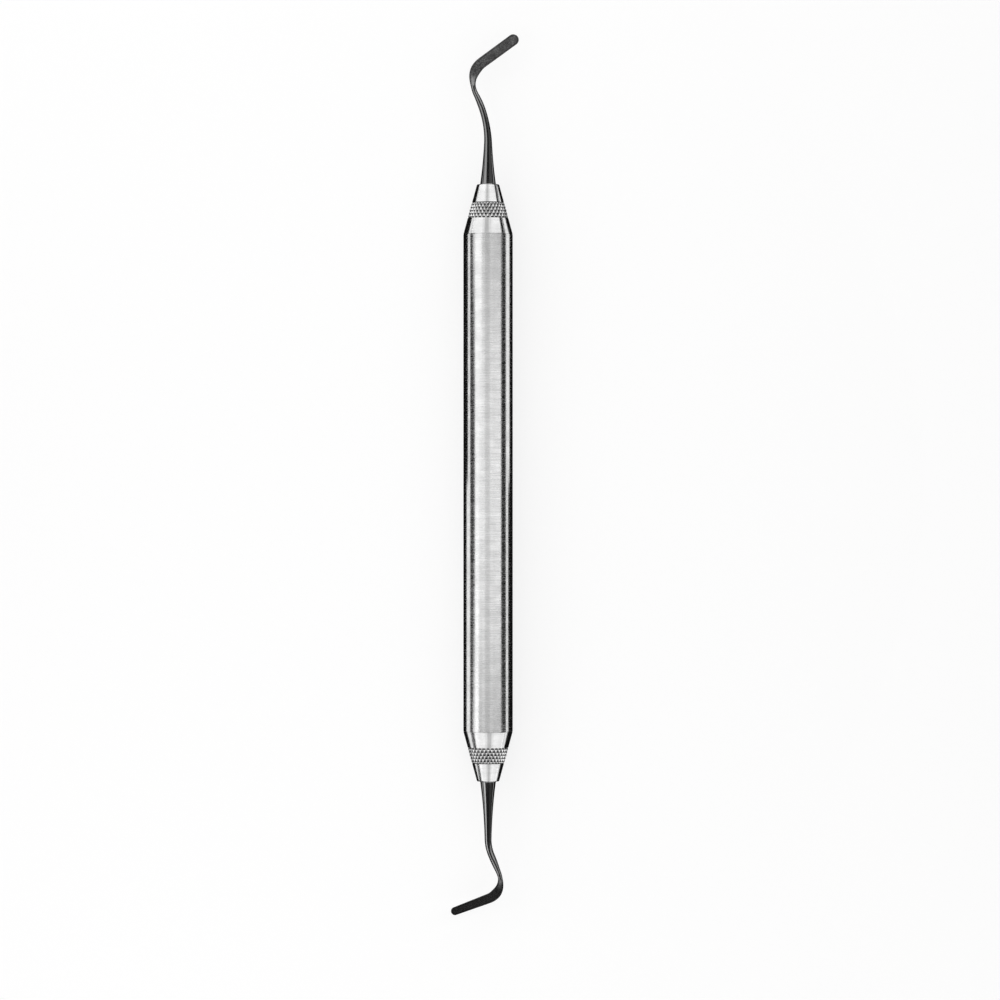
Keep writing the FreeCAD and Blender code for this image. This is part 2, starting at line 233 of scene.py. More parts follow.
class Graph:
    """A node tree that is being made."""

    def __init__(self, tree: bpy.types.NodeTree) -> None:
        """Empties the tree and keeps it."""
        self.tree = tree
        tree.nodes.clear()

    def node(self, kind: str, **settings: object) -> bpy.types.Node:
        """Adds a node.

        Args:
            kind: The node's type.
            **settings: Its properties.

        Returns:
            The node.
        """
        node = self.tree.nodes.new(kind)
        for name, value in settings.items():
            setattr(node, name, value)
        return node

    def link(self, source: Socket, target: Socket) -> None:
        """Links an output to an input."""
        self.tree.links.new(source, target)

    def math(
        self, operation: str, first: Socket | float, second: Socket | float = 0.0
    ) -> Socket:
        """Adds a sum of two values.

        Args:
            operation: The Math node's operation.
            first: A socket or a number.
            second: A socket or a number.

        Returns:
            The result's socket.
        """
        node = self.node("ShaderNodeMath", operation=operation)
        for place, value in enumerate((first, second)):
            if isinstance(value, Socket):
                self.link(value, node.inputs[place])
            else:
                node.inputs[place].default_value = value
        return node.outputs[0]

    def remap(self, value: Socket, source: Pair, target: Pair) -> Socket:
        """Maps a value from one range to another and keeps it inside.

        Args:
            value: The value's socket.
            source: The range that it has.
            target: The range that it gets.

        Returns:
            The mapped value's socket.
        """
        node = self.node("ShaderNodeMapRange", clamp=True)
        self.link(value, node.inputs["Value"])
        for name, number in zip(("From Min", "From Max", "To Min", "To Max"), (*source, *target)):
            node.inputs[name].default_value = number
        return node.outputs["Result"]

    def noise(self, vector: Socket, scale: Socket | float, detail: float) -> Socket:
        """Adds a noise texture.

        Args:
            vector: Where to read it.
            scale: A socket or a number.
            detail: How many finer layers it has.

        Returns:
            The noise's socket, from 0 to 1.
        """
        node = self.node("ShaderNodeTexNoise")
        node.inputs["Detail"].default_value = detail
        self.link(vector, node.inputs["Vector"])
        if isinstance(scale, Socket):
            self.link(scale, node.inputs["Scale"])
        else:
            node.inputs["Scale"].default_value = scale
        return node.outputs["Fac"]

    def mix(
        self, share: Socket | float, first: Socket | Colour, second: Socket | Colour
    ) -> Socket:
        """Mixes two colours.

        Args:
            share: A socket or a number, how much of the second.
            first: A socket or a colour.
            second: A socket or a colour.

        Returns:
            The mixed colour's socket.
        """
        node = self.node("ShaderNodeMix", data_type="RGBA")
        for place, value in zip(MIX_INPUTS, (share, first, second)):
            if isinstance(value, Socket):
                self.link(value, node.inputs[place])
            else:
                node.inputs[place].default_value = value
        return node.outputs[MIX_OUTPUT]


@dataclass(frozen=True)
class Effect:
    """A node group, with the numbers that it takes and the values that it gives."""

    name: str
    takes: tuple[tuple[str, float], ...]
    gives: tuple[str, ...]

    def start(self) -> tuple[Graph, bpy.types.Node, bpy.types.Node]:
        """Makes the empty group.

        Returns:
            Its graph, its input node and its output node.
        """
        tree = bpy.data.node_groups.new(self.name, "ShaderNodeTree")
        graph = Graph(tree)
        for name, value in self.takes:
            socket = tree.interface.new_socket(name, in_out="INPUT", socket_type="NodeSocketFloat")
            socket.default_value = value
        for name in self.gives:
            tree.interface.new_socket(name, in_out="OUTPUT", socket_type="NodeSocketFloat")
        return graph, graph.node("NodeGroupInput"), graph.node("NodeGroupOutput")

    def place(self, graph: Graph, **values: float) -> bpy.types.Node:
        """Places the group in a material.

        Args:
            graph: The material's graph.
            **values: Numbers for its inputs, with _ for each blank of their names.

        Returns:
            The group's node.
        """
        node = graph.node("ShaderNodeGroup", node_tree=bpy.data.node_groups[self.name])
        for name, value in values.items():
            node.inputs[name.replace("_", " ")].default_value = value
        return node


# The ranges of a noise's values that are spread over 0 to 1.
MIDDLE_OF_NOISE = (0.35, 0.65)
MOST_OF_NOISE = (0.3, 0.7)

# How many broad lines the turning leaves for each fine one.
BROAD_SHARE = 0.22

# How many finer layers the noises have.
LINE_DETAIL = 2.0
GRAIN_DETAIL = 2.0
PATCH_DETAIL = 3.0
CLOUD_DETAIL = 4.0

TURNING = Effect(
    "turning lines",
    (("Lines per mm", 9.0), ("Length mm", 5.0)),
    ("Lines", "Broad Lines"),
)
CLOUDS = Effect(
    "cloudy grain",
    (("Cloud mm", 1.6), ("Grain mm", 0.09)),
    ("Clouds", "Grain"),
)
WEAR = Effect(
    "edge wear",
    (("Edge", 0.0), ("Patch mm", 0.5), ("Amount", 0.5)),
    ("Worn",),
)


def build_turning() -> None:
    """Builds the fine rings that a lathe and an abrasive belt leave round the handle's axis."""
    graph, entry, exit_node = TURNING.start()
    place = graph.node("ShaderNodeTexCoord").outputs["Object"]
    around = graph.math("DIVIDE", MM_PER_METRE, entry.outputs["Length mm"])
    along = graph.math("MULTIPLY", MM_PER_METRE, entry.outputs["Lines per mm"])
    for output, share in (("Lines", 1.0), ("Broad Lines", BROAD_SHARE)):
        stretch = graph.node("ShaderNodeCombineXYZ")
        graph.link(around, stretch.inputs["X"])
        graph.link(graph.math("MULTIPLY", along, share), stretch.inputs["Y"])
        graph.link(around, stretch.inputs["Z"])
        scaled = graph.node("ShaderNodeVectorMath", operation="MULTIPLY")
        graph.link(place, scaled.inputs[0])
        graph.link(stretch.outputs[0], scaled.inputs[1])
        lines = graph.noise(scaled.outputs[0], 1.0, LINE_DETAIL)
        graph.link(lines, exit_node.inputs[output])


def build_clouds() -> None:
    """Builds soft clouds and a fine grain, as a blasted or coated surface has."""
    graph, entry, exit_node = CLOUDS.start()
    place = graph.node("ShaderNodeTexCoord").outputs["Object"]
    layers = (("Clouds", "Cloud mm", CLOUD_DETAIL), ("Grain", "Grain mm", GRAIN_DETAIL))
    for output, size, detail in layers:
        scale = graph.math("DIVIDE", MM_PER_METRE, entry.outputs[size])
        spread = graph.remap(graph.noise(place, scale, detail), MOST_OF_NOISE, (0.0, 1.0))
        graph.link(spread, exit_node.inputs[output])


def build_wear() -> None:
    """Builds the worn patches that handling leaves on edges and crests."""
    graph, entry, exit_node = WEAR.start()
    place = graph.node("ShaderNodeTexCoord").outputs["Object"]
    scale = graph.math("DIVIDE", MM_PER_METRE, entry.outputs["Patch mm"])
    patches = graph.remap(graph.noise(place, scale, PATCH_DETAIL), MIDDLE_OF_NOISE, (0.0, 1.0))
    edge = graph.math("MULTIPLY", entry.outputs["Edge"], entry.outputs["Amount"])
    graph.link(graph.math("MULTIPLY", edge, patches), exit_node.inputs["Worn"])


def grey(level: float) -> Colour:
    """Gives the neutral colour of a linear level."""
    return (level, level, level, 1.0)


def mask_value(graph: Graph, mask: Mask) -> Socket:
    """Reads one of the mesh's masks in a material."""
    return graph.node("ShaderNodeAttribute", attribute_name=mask.value).outputs["Fac"]


def add_relief(graph: Graph, shader: bpy.types.Node, height: Socket, depth_mm: float) -> None:
    """Gives a material's surface a fine relief.

    Args:
        graph: The material's graph.
        shader: Its shader.
        height: The relief's height, from 0 to 1.
        depth_mm: How deep the relief is.
    """
    bump = graph.node("ShaderNodeBump")
    bump.inputs["Strength"].default_value = 1.0
    bump.inputs["Distance"].default_value = depth_mm * MM
    graph.link(height, bump.inputs["Height"])
    graph.link(bump.outputs["Normal"], shader.inputs["Normal"])


def start_finish(name: str) -> tuple[bpy.types.Material, Graph, bpy.types.Node]:
    """Makes a material with a Principled shader.

    Args:
        name: The material's name.

    Returns:
        The material, its graph and its shader.
    """
    material = bpy.data.materials.new(name)
    material.use_nodes = True
    graph = Graph(material.node_tree)
    shader = graph.node("ShaderNodeBsdfPrincipled")
    output = graph.node("ShaderNodeOutputMaterial")
    graph.link(shader.outputs["BSDF"], output.inputs["Surface"])
    return material, graph, shader


@dataclass(frozen=True)
class SatinSteel:
    """Turned and satin-finished stainless steel."""

    name: str
    light: float = 0.86
    dark: float = 0.74
    smooth: float = 0.14
    rough: float = 0.22
    stretch: float = 0.75
    stretch_turn: float = 0.25
    lines_per_mm: float = 9.0
    relief_mm: float = 0.0003
    cloud_mm: float = 2.4
    streak_range: Pair = (0.1, 0.5)

    def build(self) -> bpy.types.Material:
        """Builds the material.

        Returns:
            The material.
        """
        material, graph, shader = start_finish(self.name)
        lines = TURNING.place(graph, Lines_per_mm=self.lines_per_mm)
        clouds = CLOUDS.place(graph, Cloud_mm=self.cloud_mm)
        streaks = graph.math("MULTIPLY", lines.outputs["Broad Lines"], clouds.outputs["Clouds"])
        shine = graph.remap(streaks, self.streak_range, (0.0, 1.0))
        graph.link(graph.mix(shine, grey(self.dark), grey(self.light)), shader.inputs["Base Color"])
        spread = graph.remap(lines.outputs["Lines"], MIDDLE_OF_NOISE, (self.smooth, self.rough))
        graph.link(spread, shader.inputs["Roughness"])
        add_relief(graph, shader, lines.outputs["Lines"], self.relief_mm)
        around = graph.node("ShaderNodeTangent", direction_type="RADIAL", axis="Y")
        graph.link(around.outputs["Tangent"], shader.inputs["Tangent"])
        shader.inputs["Anisotropic"].default_value = self.stretch
        shader.inputs["Anisotropic Rotation"].default_value = self.stretch_turn
        shader.inputs["Metallic"].default_value = 1.0
        return material


@dataclass(frozen=True)
class KnurledSteel:
    """Rolled knurling: crests polished by use, painted shade in the grooves and on each diamond's
    side facing the handle.
    """

    name: str
    bright: float = 0.93
    polished: float = 0.98
    grimy: float = 0.008
    grooved: float = 0.35
    roughness: Pair = (0.26, 0.38)
    cloud_mm: float = 0.8
    grain_mm: float = 0.05
    patch_mm: float = 0.4
    wear: float = 0.8
    crest_range: Pair = (0.6, 1.0)
    groove_range: Pair = (0.04, 0.2)
    least_grime: float = 0.9

    def build(self) -> bpy.types.Material:
        """Builds the material.

        Returns:
            The material.
        """
        material, graph, shader = start_finish(self.name)
        clouds = CLOUDS.place(graph, Cloud_mm=self.cloud_mm, Grain_mm=self.grain_mm)
        height = mask_value(graph, Mask.HEIGHT)
        worn = WEAR.place(graph, Patch_mm=self.patch_mm, Amount=self.wear)
        graph.link(graph.remap(height, self.crest_range, (0.0, 1.0)), worn.inputs["Edge"])
        base = graph.mix(worn.outputs["Worn"], grey(self.bright), grey(self.polished))
        # Painted shade: the bottoms of the grooves darkened to grey.
        groove = graph.remap(height, self.groove_range, (1.0, 0.0))
        lined = graph.mix(groove, base, grey(self.grooved))
        # Painted shade: the side of each diamond that faces the handle and the step down from the
        # nose, darkened almost to black in soft patches.
        patchy = graph.remap(clouds.outputs["Clouds"], (0.0, 1.0), (self.least_grime, 1.0))
        grime = graph.math("MULTIPLY", mask_value(graph, Mask.LEE), patchy)
        graph.link(graph.mix(grime, lined, grey(self.grimy)), shader.inputs["Base Color"])
        spread = graph.remap(clouds.outputs["Grain"], (0.0, 1.0), self.roughness)
        graph.link(spread, shader.inputs["Roughness"])
        shader.inputs["Metallic"].default_value = 1.0
        return material


@dataclass(frozen=True)
class BlackCoating:
    """A thin hard black coating over ground steel, smooth on the shank and cloudy on the blade,
    with a painted highlight where the flats start and painted shade on the blade's edges.
    """

    name: str
    shank_level: float = 0.25
    blade_dark: float = 0.035
    blade_light: float = 0.44
    bare_level: float = 0.6
    rim_level: float = 0.02
    shank_roughness: float = 0.12
    blade_roughness: float = 0.4
    roughness_stir: float = 0.05
    relief_mm: float = 0.003
    cloud_mm: float = 0.9
    grain_mm: float = 0.13
    lines_per_mm: float = 4.0
    line_mm: float = 1.0
    patch_mm: float = 0.35
    wear: float = 0.12
    least_mottle: float = 0.3
    least_bare: float = 0.6
    rim_share: float = 0.8

    def build(self) -> bpy.types.Material:
        """Builds the material.

        Returns:
            The material.
        """
        material, graph, shader = start_finish(self.name)
        clouds = CLOUDS.place(graph, Cloud_mm=self.cloud_mm, Grain_mm=self.grain_mm)
        grain = clouds.outputs["Grain"]
        lines = TURNING.place(graph, Lines_per_mm=self.lines_per_mm, Length_mm=self.line_mm)
        blade = mask_value(graph, Mask.BLADE)
        rim = mask_value(graph, Mask.RIM)
        worn = WEAR.place(graph, Patch_mm=self.patch_mm, Amount=self.wear)
        graph.link(rim, worn.inputs["Edge"])
        patches = graph.remap(clouds.outputs["Clouds"], (0.0, 1.0), (self.least_mottle, 1.0))
        mottle = graph.math("MULTIPLY", patches, grain)
        patchy = graph.mix(mottle, grey(self.blade_dark), grey(self.blade_light))
        coated = graph.mix(blade, grey(self.shank_level), patchy)
        # Painted highlight: a lighter patch where the ground flats start, kept off the edges.
        grainy = graph.remap(grain, (0.0, 1.0), (self.least_bare, 1.0))
        thin = graph.math("MULTIPLY", mask_value(graph, Mask.BARE), grainy)
        base = graph.mix(thin, coated, grey(self.bare_level))
        # Painted shade: the blade's long edges and its tip darkened.
        darkened = graph.math("MULTIPLY", rim, self.rim_share)
        rimmed = graph.mix(darkened, base, grey(self.rim_level))
        edged = graph.mix(worn.outputs["Worn"], rimmed, grey(self.blade_light))
        graph.link(edged, shader.inputs["Base Color"])
        level = graph.remap(blade, (0.0, 1.0), (self.shank_roughness, self.blade_roughness))
        stir = graph.remap(grain, (0.0, 1.0), (-self.roughness_stir, self.roughness_stir))
        graph.link(graph.math("ADD", level, stir), shader.inputs["Roughness"])
        height = graph.math("ADD", grain, lines.outputs["Lines"])
        add_relief(graph, shader, graph.math("MULTIPLY", height, blade), self.relief_mm)
        shader.inputs["Metallic"].default_value = 1.0
        return material


# Pieces


@dataclass
class HandleTube:
    """The handle's tube, with chamfered mouths."""

    radius: float = HANDLE_RADIUS
    bore_radius: float = PLUG_RADIUS
    length: float = 2.0 * (NOSE_PLACE - CONE_LENGTH)
    chamfer: float = SEAM_CHAMFER
    segments: int = 224
    support: float = 0.04

    def outline(self) -> list[Pair]:
        """Gives the closed outline of the wall, as pairs of radius and place along the axis."""
        half = self.length / 2
        rim = half - self.chamfer
        outer = [
            (self.radius - self.chamfer, half),
            (self.radius, rim),
            (self.radius, rim - self.support),
        ]
        inner = [(self.bore_radius, half), (self.bore_radius, -half)]
        return inner + [(radius, -place) for radius, place in outer] + outer[::-1]

    def build(self, finish: bpy.types.Material) -> bpy.types.Object:
        """Builds and dresses the tube.

        Args:
            finish: Its material.

        Returns:
            The tube.
        """
        skin = Skin()
        angles = [2.0 * math.pi * step / self.segments for step in range(self.segments)]
        rings = []
        for radius, place in self.outline():
            rings.append(skin.add([round_axis(radius, angle, place) for angle in angles]))
        for first, second in zip(rings, rings[1:] + rings[:1]):
            skin.bridge(first, second)
        tube = skin.finish("steel_tube", sharp=30.0)
        install(tube, "handle_tube", finish)
        return tube


@dataclass
class NoseCone:
    """A nose cone: turned, with a ring of diamond knurling, bored for the tang.

    Depths are behind the nose face. The knurling's valley and crests are measured from the plain
    cone. Its rows, its phase and the pairs of lee, which place the painted shade on the side of
    each diamond that faces the handle, are in half diamonds.
    """

    end: End
    nose_radius: float = 2.125
    nose_edge: float = 0.22
    edge_steps: int = 7
    plain_steps: int = 6
    plug_length: float = 6.0
    plug_chamfer: float = 0.4
    bore_spare: float = 0.5
    drill_angle: float = 118.0
    band_start: float = 3.45
    band_length: float = 3.05
    teeth: int = 28
    rows: int = 5
    steps: int = 10
    valley: float = -0.2
    crest: float = 0.08
    runout_crest: float = -0.03
    phase: float = 0.5
    groove_rounding: float = 0.1
    crest_rounding: float = 0.14
    step_down_rows: Pair = (0.3, 0.1)
    step_down_height: Pair = (0.8, 0.3)
    lee_start: Pair = (0.04, 0.1)
    lee_groove: Pair = (0.98, 0.14)
    support: float = 0.03

    @property
    def growth(self) -> float:
        """How much the cone's radius grows for each millimetre of its length."""
        return (HANDLE_RADIUS - self.nose_radius) / CONE_LENGTH

    @property
    def count(self) -> int:
        """How many points a ring has."""
        return 2 * self.teeth * self.steps

    def place(self, depth: float) -> float:
        """Gives the place along the handle's axis of a depth behind the nose face."""
        return self.end.value * (NOSE_PLACE - depth)

    def surface(self, depth: float) -> float:
        """Gives the plain cone's radius at a depth behind the nose face."""
        return self.nose_radius + self.growth * depth

    def nose_rounding(self) -> list[Pair]:
        """Gives the rounded edge of the nose face, as pairs of radius and depth."""
        slope = math.atan(self.growth)
        inset = self.nose_edge * (1.0 - math.sin(slope)) / math.cos(slope)
        middle = self.nose_radius - inset
        stop = math.pi / 2 - slope
        turns = [stop * step / self.edge_steps for step in range(self.edge_steps + 1)]
        return [
            (middle + self.nose_edge * math.sin(turn), self.nose_edge * (1.0 - math.cos(turn)))
            for turn in turns
        ]

    def plain(self, first: float, last: float) -> list[Pair]:
        """Gives a stretch of plain cone, as pairs of radius and depth."""
        steps = range(self.plain_steps + 1)
        depths = [between(first, last, step / self.plain_steps) for step in steps]
        return [(self.surface(depth), depth) for depth in depths]

    def front(self) -> list[Pair]:
        """Gives the outline from the bottom of the bore to the knurled band."""
        bore_end = TANG_LENGTH + self.bore_spare
        point = bore_end + TANG_RADIUS / math.tan(math.radians(self.drill_angle / 2))
        bore = [(0.0, point), (TANG_RADIUS, bore_end), (TANG_RADIUS, self.support)]
        rounding = self.nose_rounding()
        face = [(TANG_RADIUS + self.support, 0.0), (rounding[0][0] - self.support, 0.0)]
        first = rounding[-1][1] + self.support
        return bore + face + rounding + self.plain(first, self.band_start - self.support)

    def back(self) -> list[Pair]:
        """Gives the outline from the knurled band to the end of the plug."""
        first = self.band_start + self.band_length + self.support
        edge = CONE_LENGTH - SEAM_CHAMFER * math.cos(math.atan(self.growth))
        plug_end = CONE_LENGTH + self.plug_length
        return self.plain(first, edge - self.support) + [
            (self.surface(edge), edge),
            (HANDLE_RADIUS - SEAM_CHAMFER, CONE_LENGTH),
            (PLUG_RADIUS, CONE_LENGTH),
            (PLUG_RADIUS, plug_end - self.plug_chamfer),
            (PLUG_RADIUS - self.plug_chamfer, plug_end),
            (0.0, plug_end),
        ]

    @staticmethod
    def pyramid(column: float, row: float) -> tuple[float, bool]:
        """Gives the knurling's height where two families of grooves cross.

        Args:
            column: The place round the band, in half diamonds.
            row: The place along the band, in half diamonds.

        Returns:
            The height from 0 in a groove to 1 on a crest, and whether the rising groove is nearer.
        """
        falling, rising = column + row, column - row
        to_falling = abs(falling - 2.0 * round(falling / 2.0))
        to_rising = abs(rising - 2.0 * round(rising / 2.0))
        return min(to_falling, to_rising), to_rising < to_falling

    def lee(self, column: float, row: float) -> float:
        """Tells whether a place is on the side of its diamond that faces the handle.

        Args:
            column: The place round the band, in half diamonds.
            row: The place along the band, in half diamonds.

        Returns:
            1 well inside that side, and 0 in the grooves and on the side that faces the nose.
        """
        falling = 2.0 * math.floor((column + row) / 2.0) + 1.0
        rising = 2.0 * math.floor((column - row) / 2.0) + 1.0
        beside = abs(column - (falling + rising) / 2.0)
        behind = row - (falling - rising) / 2.0
        start, start_run = self.lee_start
        groove, groove_run = self.lee_groove
        return ease((behind + start) / start_run) * ease((groove - beside - behind) / groove_run)

    def soften(self, height: float) -> float:
        """Rounds the bottom of the grooves and the tops of the crests.

        Args:
            height: The sharp height, from 0 to 1.

        Returns:
            The rounded height.
        """
        groove, crest = self.groove_rounding, self.crest_rounding
        if height < groove:
            return height * height / (2.0 * groove) + groove / 2.0
        below = 1.0 - height
        if below < crest:
            return 1.0 - below * below / (2.0 * crest) - crest / 2.0
        return height

    def step_down(self, row: float, height: float) -> float:
        """Tells whether a place is on the step from the nose down to the first row of grooves.

        Args:
            row: The place along the band, in half diamonds.
            height: The knurling's height there.

        Returns:
            1 on the step, and 0 on the crests and beyond the step.
        """
        last_row, row_run = self.step_down_rows
        top, height_run = self.step_down_height
        return ease((last_row - row) / row_run) * ease((top - height) / height_run)

    def ring(self, skin: Skin, radius: float, depth: float) -> list[int]:
        """Adds a ring of points, or one point on the axis.

        Args:
            skin: The mesh that is being made.
            radius: The ring's radius.
            depth: Its depth behind the nose face.

        Returns:
            The indices of its points.
        """
        place = self.place(depth)
        if radius == 0.0:
            return skin.add([round_axis(0.0, 0.0, place)])
        angles = [2.0 * math.pi * step / self.count for step in range(self.count)]
        return skin.add([round_axis(radius, angle, place) for angle in angles])

    def knurl(self, skin: Skin) -> list[list[int]]:
        """Adds the knurled band's points.

        Args:
            skin: The mesh that is being made.

        Returns:
            The indices of the band's rings, from the nose.
        """
        rings = []
        for level in range(self.rows * self.steps + 1):
            row = level / self.steps
            depth = self.band_start + self.band_length * row / self.rows
            inside = min(1.0, row, self.rows - row)
            top = between(self.runout_crest, self.crest, inside)
            points, heights, lees = [], [], []
            for step in range(self.count):
                column = step / self.steps
                height = self.soften(self.pyramid(column, row + self.phase)[0])
                radius = self.surface(depth) + between(self.valley, top, height)
                angle = 2.0 * math.pi * step / self.count
                points.append(round_axis(radius, angle, self.place(depth)))
                heights.append(height)
                # The side that faces the handle and the step down from the nose carry the painted
                # shade.
                lees.append(max(self.step_down(row, height), self.lee(column, row + self.phase)))
            rings.append(skin.add(points, height=heights, lee=lees))
        return rings

    def weave(self, skin: Skin, rings: list[list[int]]) -> None:
        """Joins the knurled band's rings by triangles that follow the grooves.

        Args:
            skin: The mesh that is being made.
            rings: The band's rings.
        """
        for level, (first, second) in enumerate(zip(rings, rings[1:])):
            row = (level + 0.5) / self.steps + self.phase
            for here in range(len(first)):
                after = (here + 1) % len(first)
                near, far = first[here], first[after]
                beyond, above = second[after], second[here]
                if self.pyramid((here + 0.5) / self.steps, row)[1]:
                    skin.faces += [(near, far, beyond), (near, beyond, above)]
                else:
                    skin.faces += [(near, far, above), (far, beyond, above)]

    def build(self, finish: bpy.types.Material, knurling: bpy.types.Material) -> bpy.types.Object:
        """Builds and dresses the cone.

        Args:
            finish: The turned steel.
            knurling: The knurled band's steel.

        Returns:
            The cone.
        """
        skin = Skin(masks={Mask.HEIGHT: [], Mask.LEE: []})
        front = [self.ring(skin, radius, depth) for radius, depth in self.front()]
        band = self.knurl(skin)
        back = [self.ring(skin, radius, depth) for radius, depth in self.back()]
        skin.fan(front[1], front[0][0])
        for near, far in zip(front[1:], front[2:]):
            skin.bridge(near, far)
        skin.bridge(front[-1], band[0])
        first = len(skin.faces)
        self.weave(skin, band)
        last = len(skin.faces)
        skin.bridge(band[-1], back[0])
        for near, far in zip(back[:-2], back[1:-1]):
            skin.bridge(near, far)
        skin.fan(back[-2], back[-1][0])
        cone = skin.finish(f"{self.end.label}_knurled_cone", sharp=55.0)
        install(cone, f"{self.end.label}_nose_cone", finish)
        cone.data.materials.append(knurling)
        for face in cone.data.polygons[first:last]:
            face.material_index = 1
        return cone


@dataclass
class Run:
    """One run of a working end's centreline: its length and its turn to the left."""

    length: float
    turn: float = 0.0

    @classmethod
    def bend(cls, radius: float, degrees: float) -> "Run":
        """Gives a bend to the left, or to the right where the angle is negative."""
        return cls(radius * math.radians(abs(degrees)), math.radians(degrees))


def total(runs: list[Run]) -> float:
    """Gives the length of runs that follow each other."""
    return sum(run.length for run in runs)


@dataclass(frozen=True)
class Section:
    """A section of a working end.

    The crease is where its points divide, and the flank is 0 for a round side and 1 for a blade's.
    """

    width: float
    thickness: float
    crease: float
    flank: float


@dataclass
class WorkingEnd:
    """A black working end: a tang, a tapered shank that bends twice, and a flat rounded blade.

    The centreline starts at the nose, leans to the left, returns, and hooks to the right. The
    creases are the shares of half the width at which a round section's points divide, far from the
    blade's flats and where the flats start.
    """

    end: End
    straight: float
    lean: float
    lean_radius: float
    neck_run: float
    return_radius: float
    hook: float
    hook_radius: float
    blade_run: float
    waist: float
    neck: float
    blade_width: float
    tip_width: float
    tang_chamfer: float = 0.35
    collar_chamfer: float = 0.075
    shank_width: float = 3.05
    taper_length: float = 15.0
    taper_power: float = 2.3
    wide_share: float = 0.66
    grind_run: float = 1.7
    flank_run: float = 3.2
    grind_thickness: float = 0.54
    bare_lead: float = 0.1
    bare_rise: float = 0.5
    bare_run: float = 2.6
    bare_fall: float = 1.1
    rim_width: float = 0.5
    rim_fade: float = 0.46
    creases: Pair = (0.5, 0.04)
    root_thickness: float = 0.5
    tip_thickness: float = 0.28
    around: int = 96
    spacing: float = 0.16
    tip_steps: int = 40

    def runs(self) -> list[Run]:
        """Gives the centreline's runs, from the nose to the tip."""
        return [
            Run(self.straight),
            Run.bend(self.lean_radius, self.lean),
            Run(self.neck_run),
            Run.bend(self.return_radius, -self.lean),
            Run.bend(self.hook_radius, -self.hook),
            Run(self.blade_run),
        ]

    @property
    def tip_at(self) -> float:
        """How far along the centreline the middle of the rounded tip is."""
        return total(self.runs()) - self.tip_width / 2

    @property
    def root_at(self) -> float:
        """How far along the centreline the hook ends and the straight blade starts."""
        return total(self.runs()[:-1])

    @property
    def hook_at(self) -> float:
        """How far along the centreline the hook starts."""
        return total(self.runs()[:-2])

    @property
    def grind_at(self) -> float:
        """How far along the centreline the ground flats start, halfway through the return."""
        *before, back = self.runs()[:-2]
        return total(before) + back.length / 2

    def rim(self, x: float, width: float) -> float:
        """Gives how near a point is to the blade's long edges, from 0 to 1."""
        return ease((abs(x) - width / 2 + self.rim_width) / self.rim_fade)

    def bare(self, past: float) -> float:
        """Gives the share of the painted highlight at a distance past the start of the ground
        flats.
        """
        rise = ease((past + self.bare_lead) / self.bare_rise)
        return rise * ease((self.bare_run - past) / self.bare_fall)

    def place(self, distance: float) -> tuple[Vector, Vector]:
        """Follows the centreline.

        Args:
            distance: How far to follow it from the nose.

        Returns:
            The point there, and the direction.
        """
        point = Vector((0.0, 0.0, 0.0))
        heading = math.pi / 2
        for run in self.runs():
            step = min(distance, run.length)
            angle = run.turn * step / run.length
            chord = step if run.turn == 0.0 else 2.0 * run.length / run.turn * math.sin(angle / 2)
            middle = heading + angle / 2
            point += Vector((math.cos(middle), math.sin(middle), 0.0)) * chord
            heading += angle
            distance -= step
        return point, Vector((math.cos(heading), math.sin(heading), 0.0))

    def width_at(self, distance: float) -> float:
        """Gives the width: the shank's taper, its waist and neck, then the blade to its tip.

        Args:
            distance: How far along the centreline.

        Returns:
            The width there.
        """
        wide_at = between(self.hook_at, self.root_at, self.wide_share)
        if distance <= self.taper_length:
            share = (1.0 - distance / self.taper_length) ** self.taper_power
            return between(self.waist, self.shank_width, share)
        if distance <= self.grind_at:
            share = (distance - self.taper_length) / (self.grind_at - self.taper_length)
            return between(self.waist, self.neck, ease(share))
        if distance <= wide_at:
            share = (distance - self.grind_at) / (wide_at - self.grind_at)
            return between(self.neck, self.blade_width, ease(share))
        share = (distance - wide_at) / (self.tip_at - wide_at)
        return between(self.blade_width, self.tip_width, share)

    def thickness_at(self, distance: float) -> float:
        """Gives the ground part's thickness, from the neck over the blade's root to its tip.

        Args:
            distance: How far along the centreline, past the start of the flats.

        Returns:
            The thickness there.
        """
        if distance > self.root_at:
            share = (distance - self.root_at) / (self.tip_at - self.root_at)
            return between(self.root_thickness, self.tip_thickness, share)
        past = distance - self.grind_at
        share = past / (self.root_at - self.grind_at)
        flat = between(self.grind_thickness, self.root_thickness, share)
        return between(self.neck, flat, ease(past / self.grind_run))

    def crease_at(self, distance: float) -> float:
        """Gives where a round section's points divide, to meet the flat's edge at the neck.

        Args:
            distance: How far along the centreline.

        Returns:
            The place across of the dividing point.
        """
        near = ease(1.0 - (self.grind_at - distance) / self.flank_run)
        return self.width_at(distance) / 2 * between(*self.creases, near)

    def section(self, distance: float) -> Section:
        """Gives the section at a distance along the centreline.

        Args:
            distance: How far from the nose.

        Returns:
            The section.
        """
        width = self.width_at(distance)
        if distance <= self.grind_at:
            return Section(width, width, self.crease_at(distance), 0.0)
        flank = ease((distance - self.grind_at) / self.flank_run)
        return Section(width, self.thickness_at(distance), 0.0, flank)

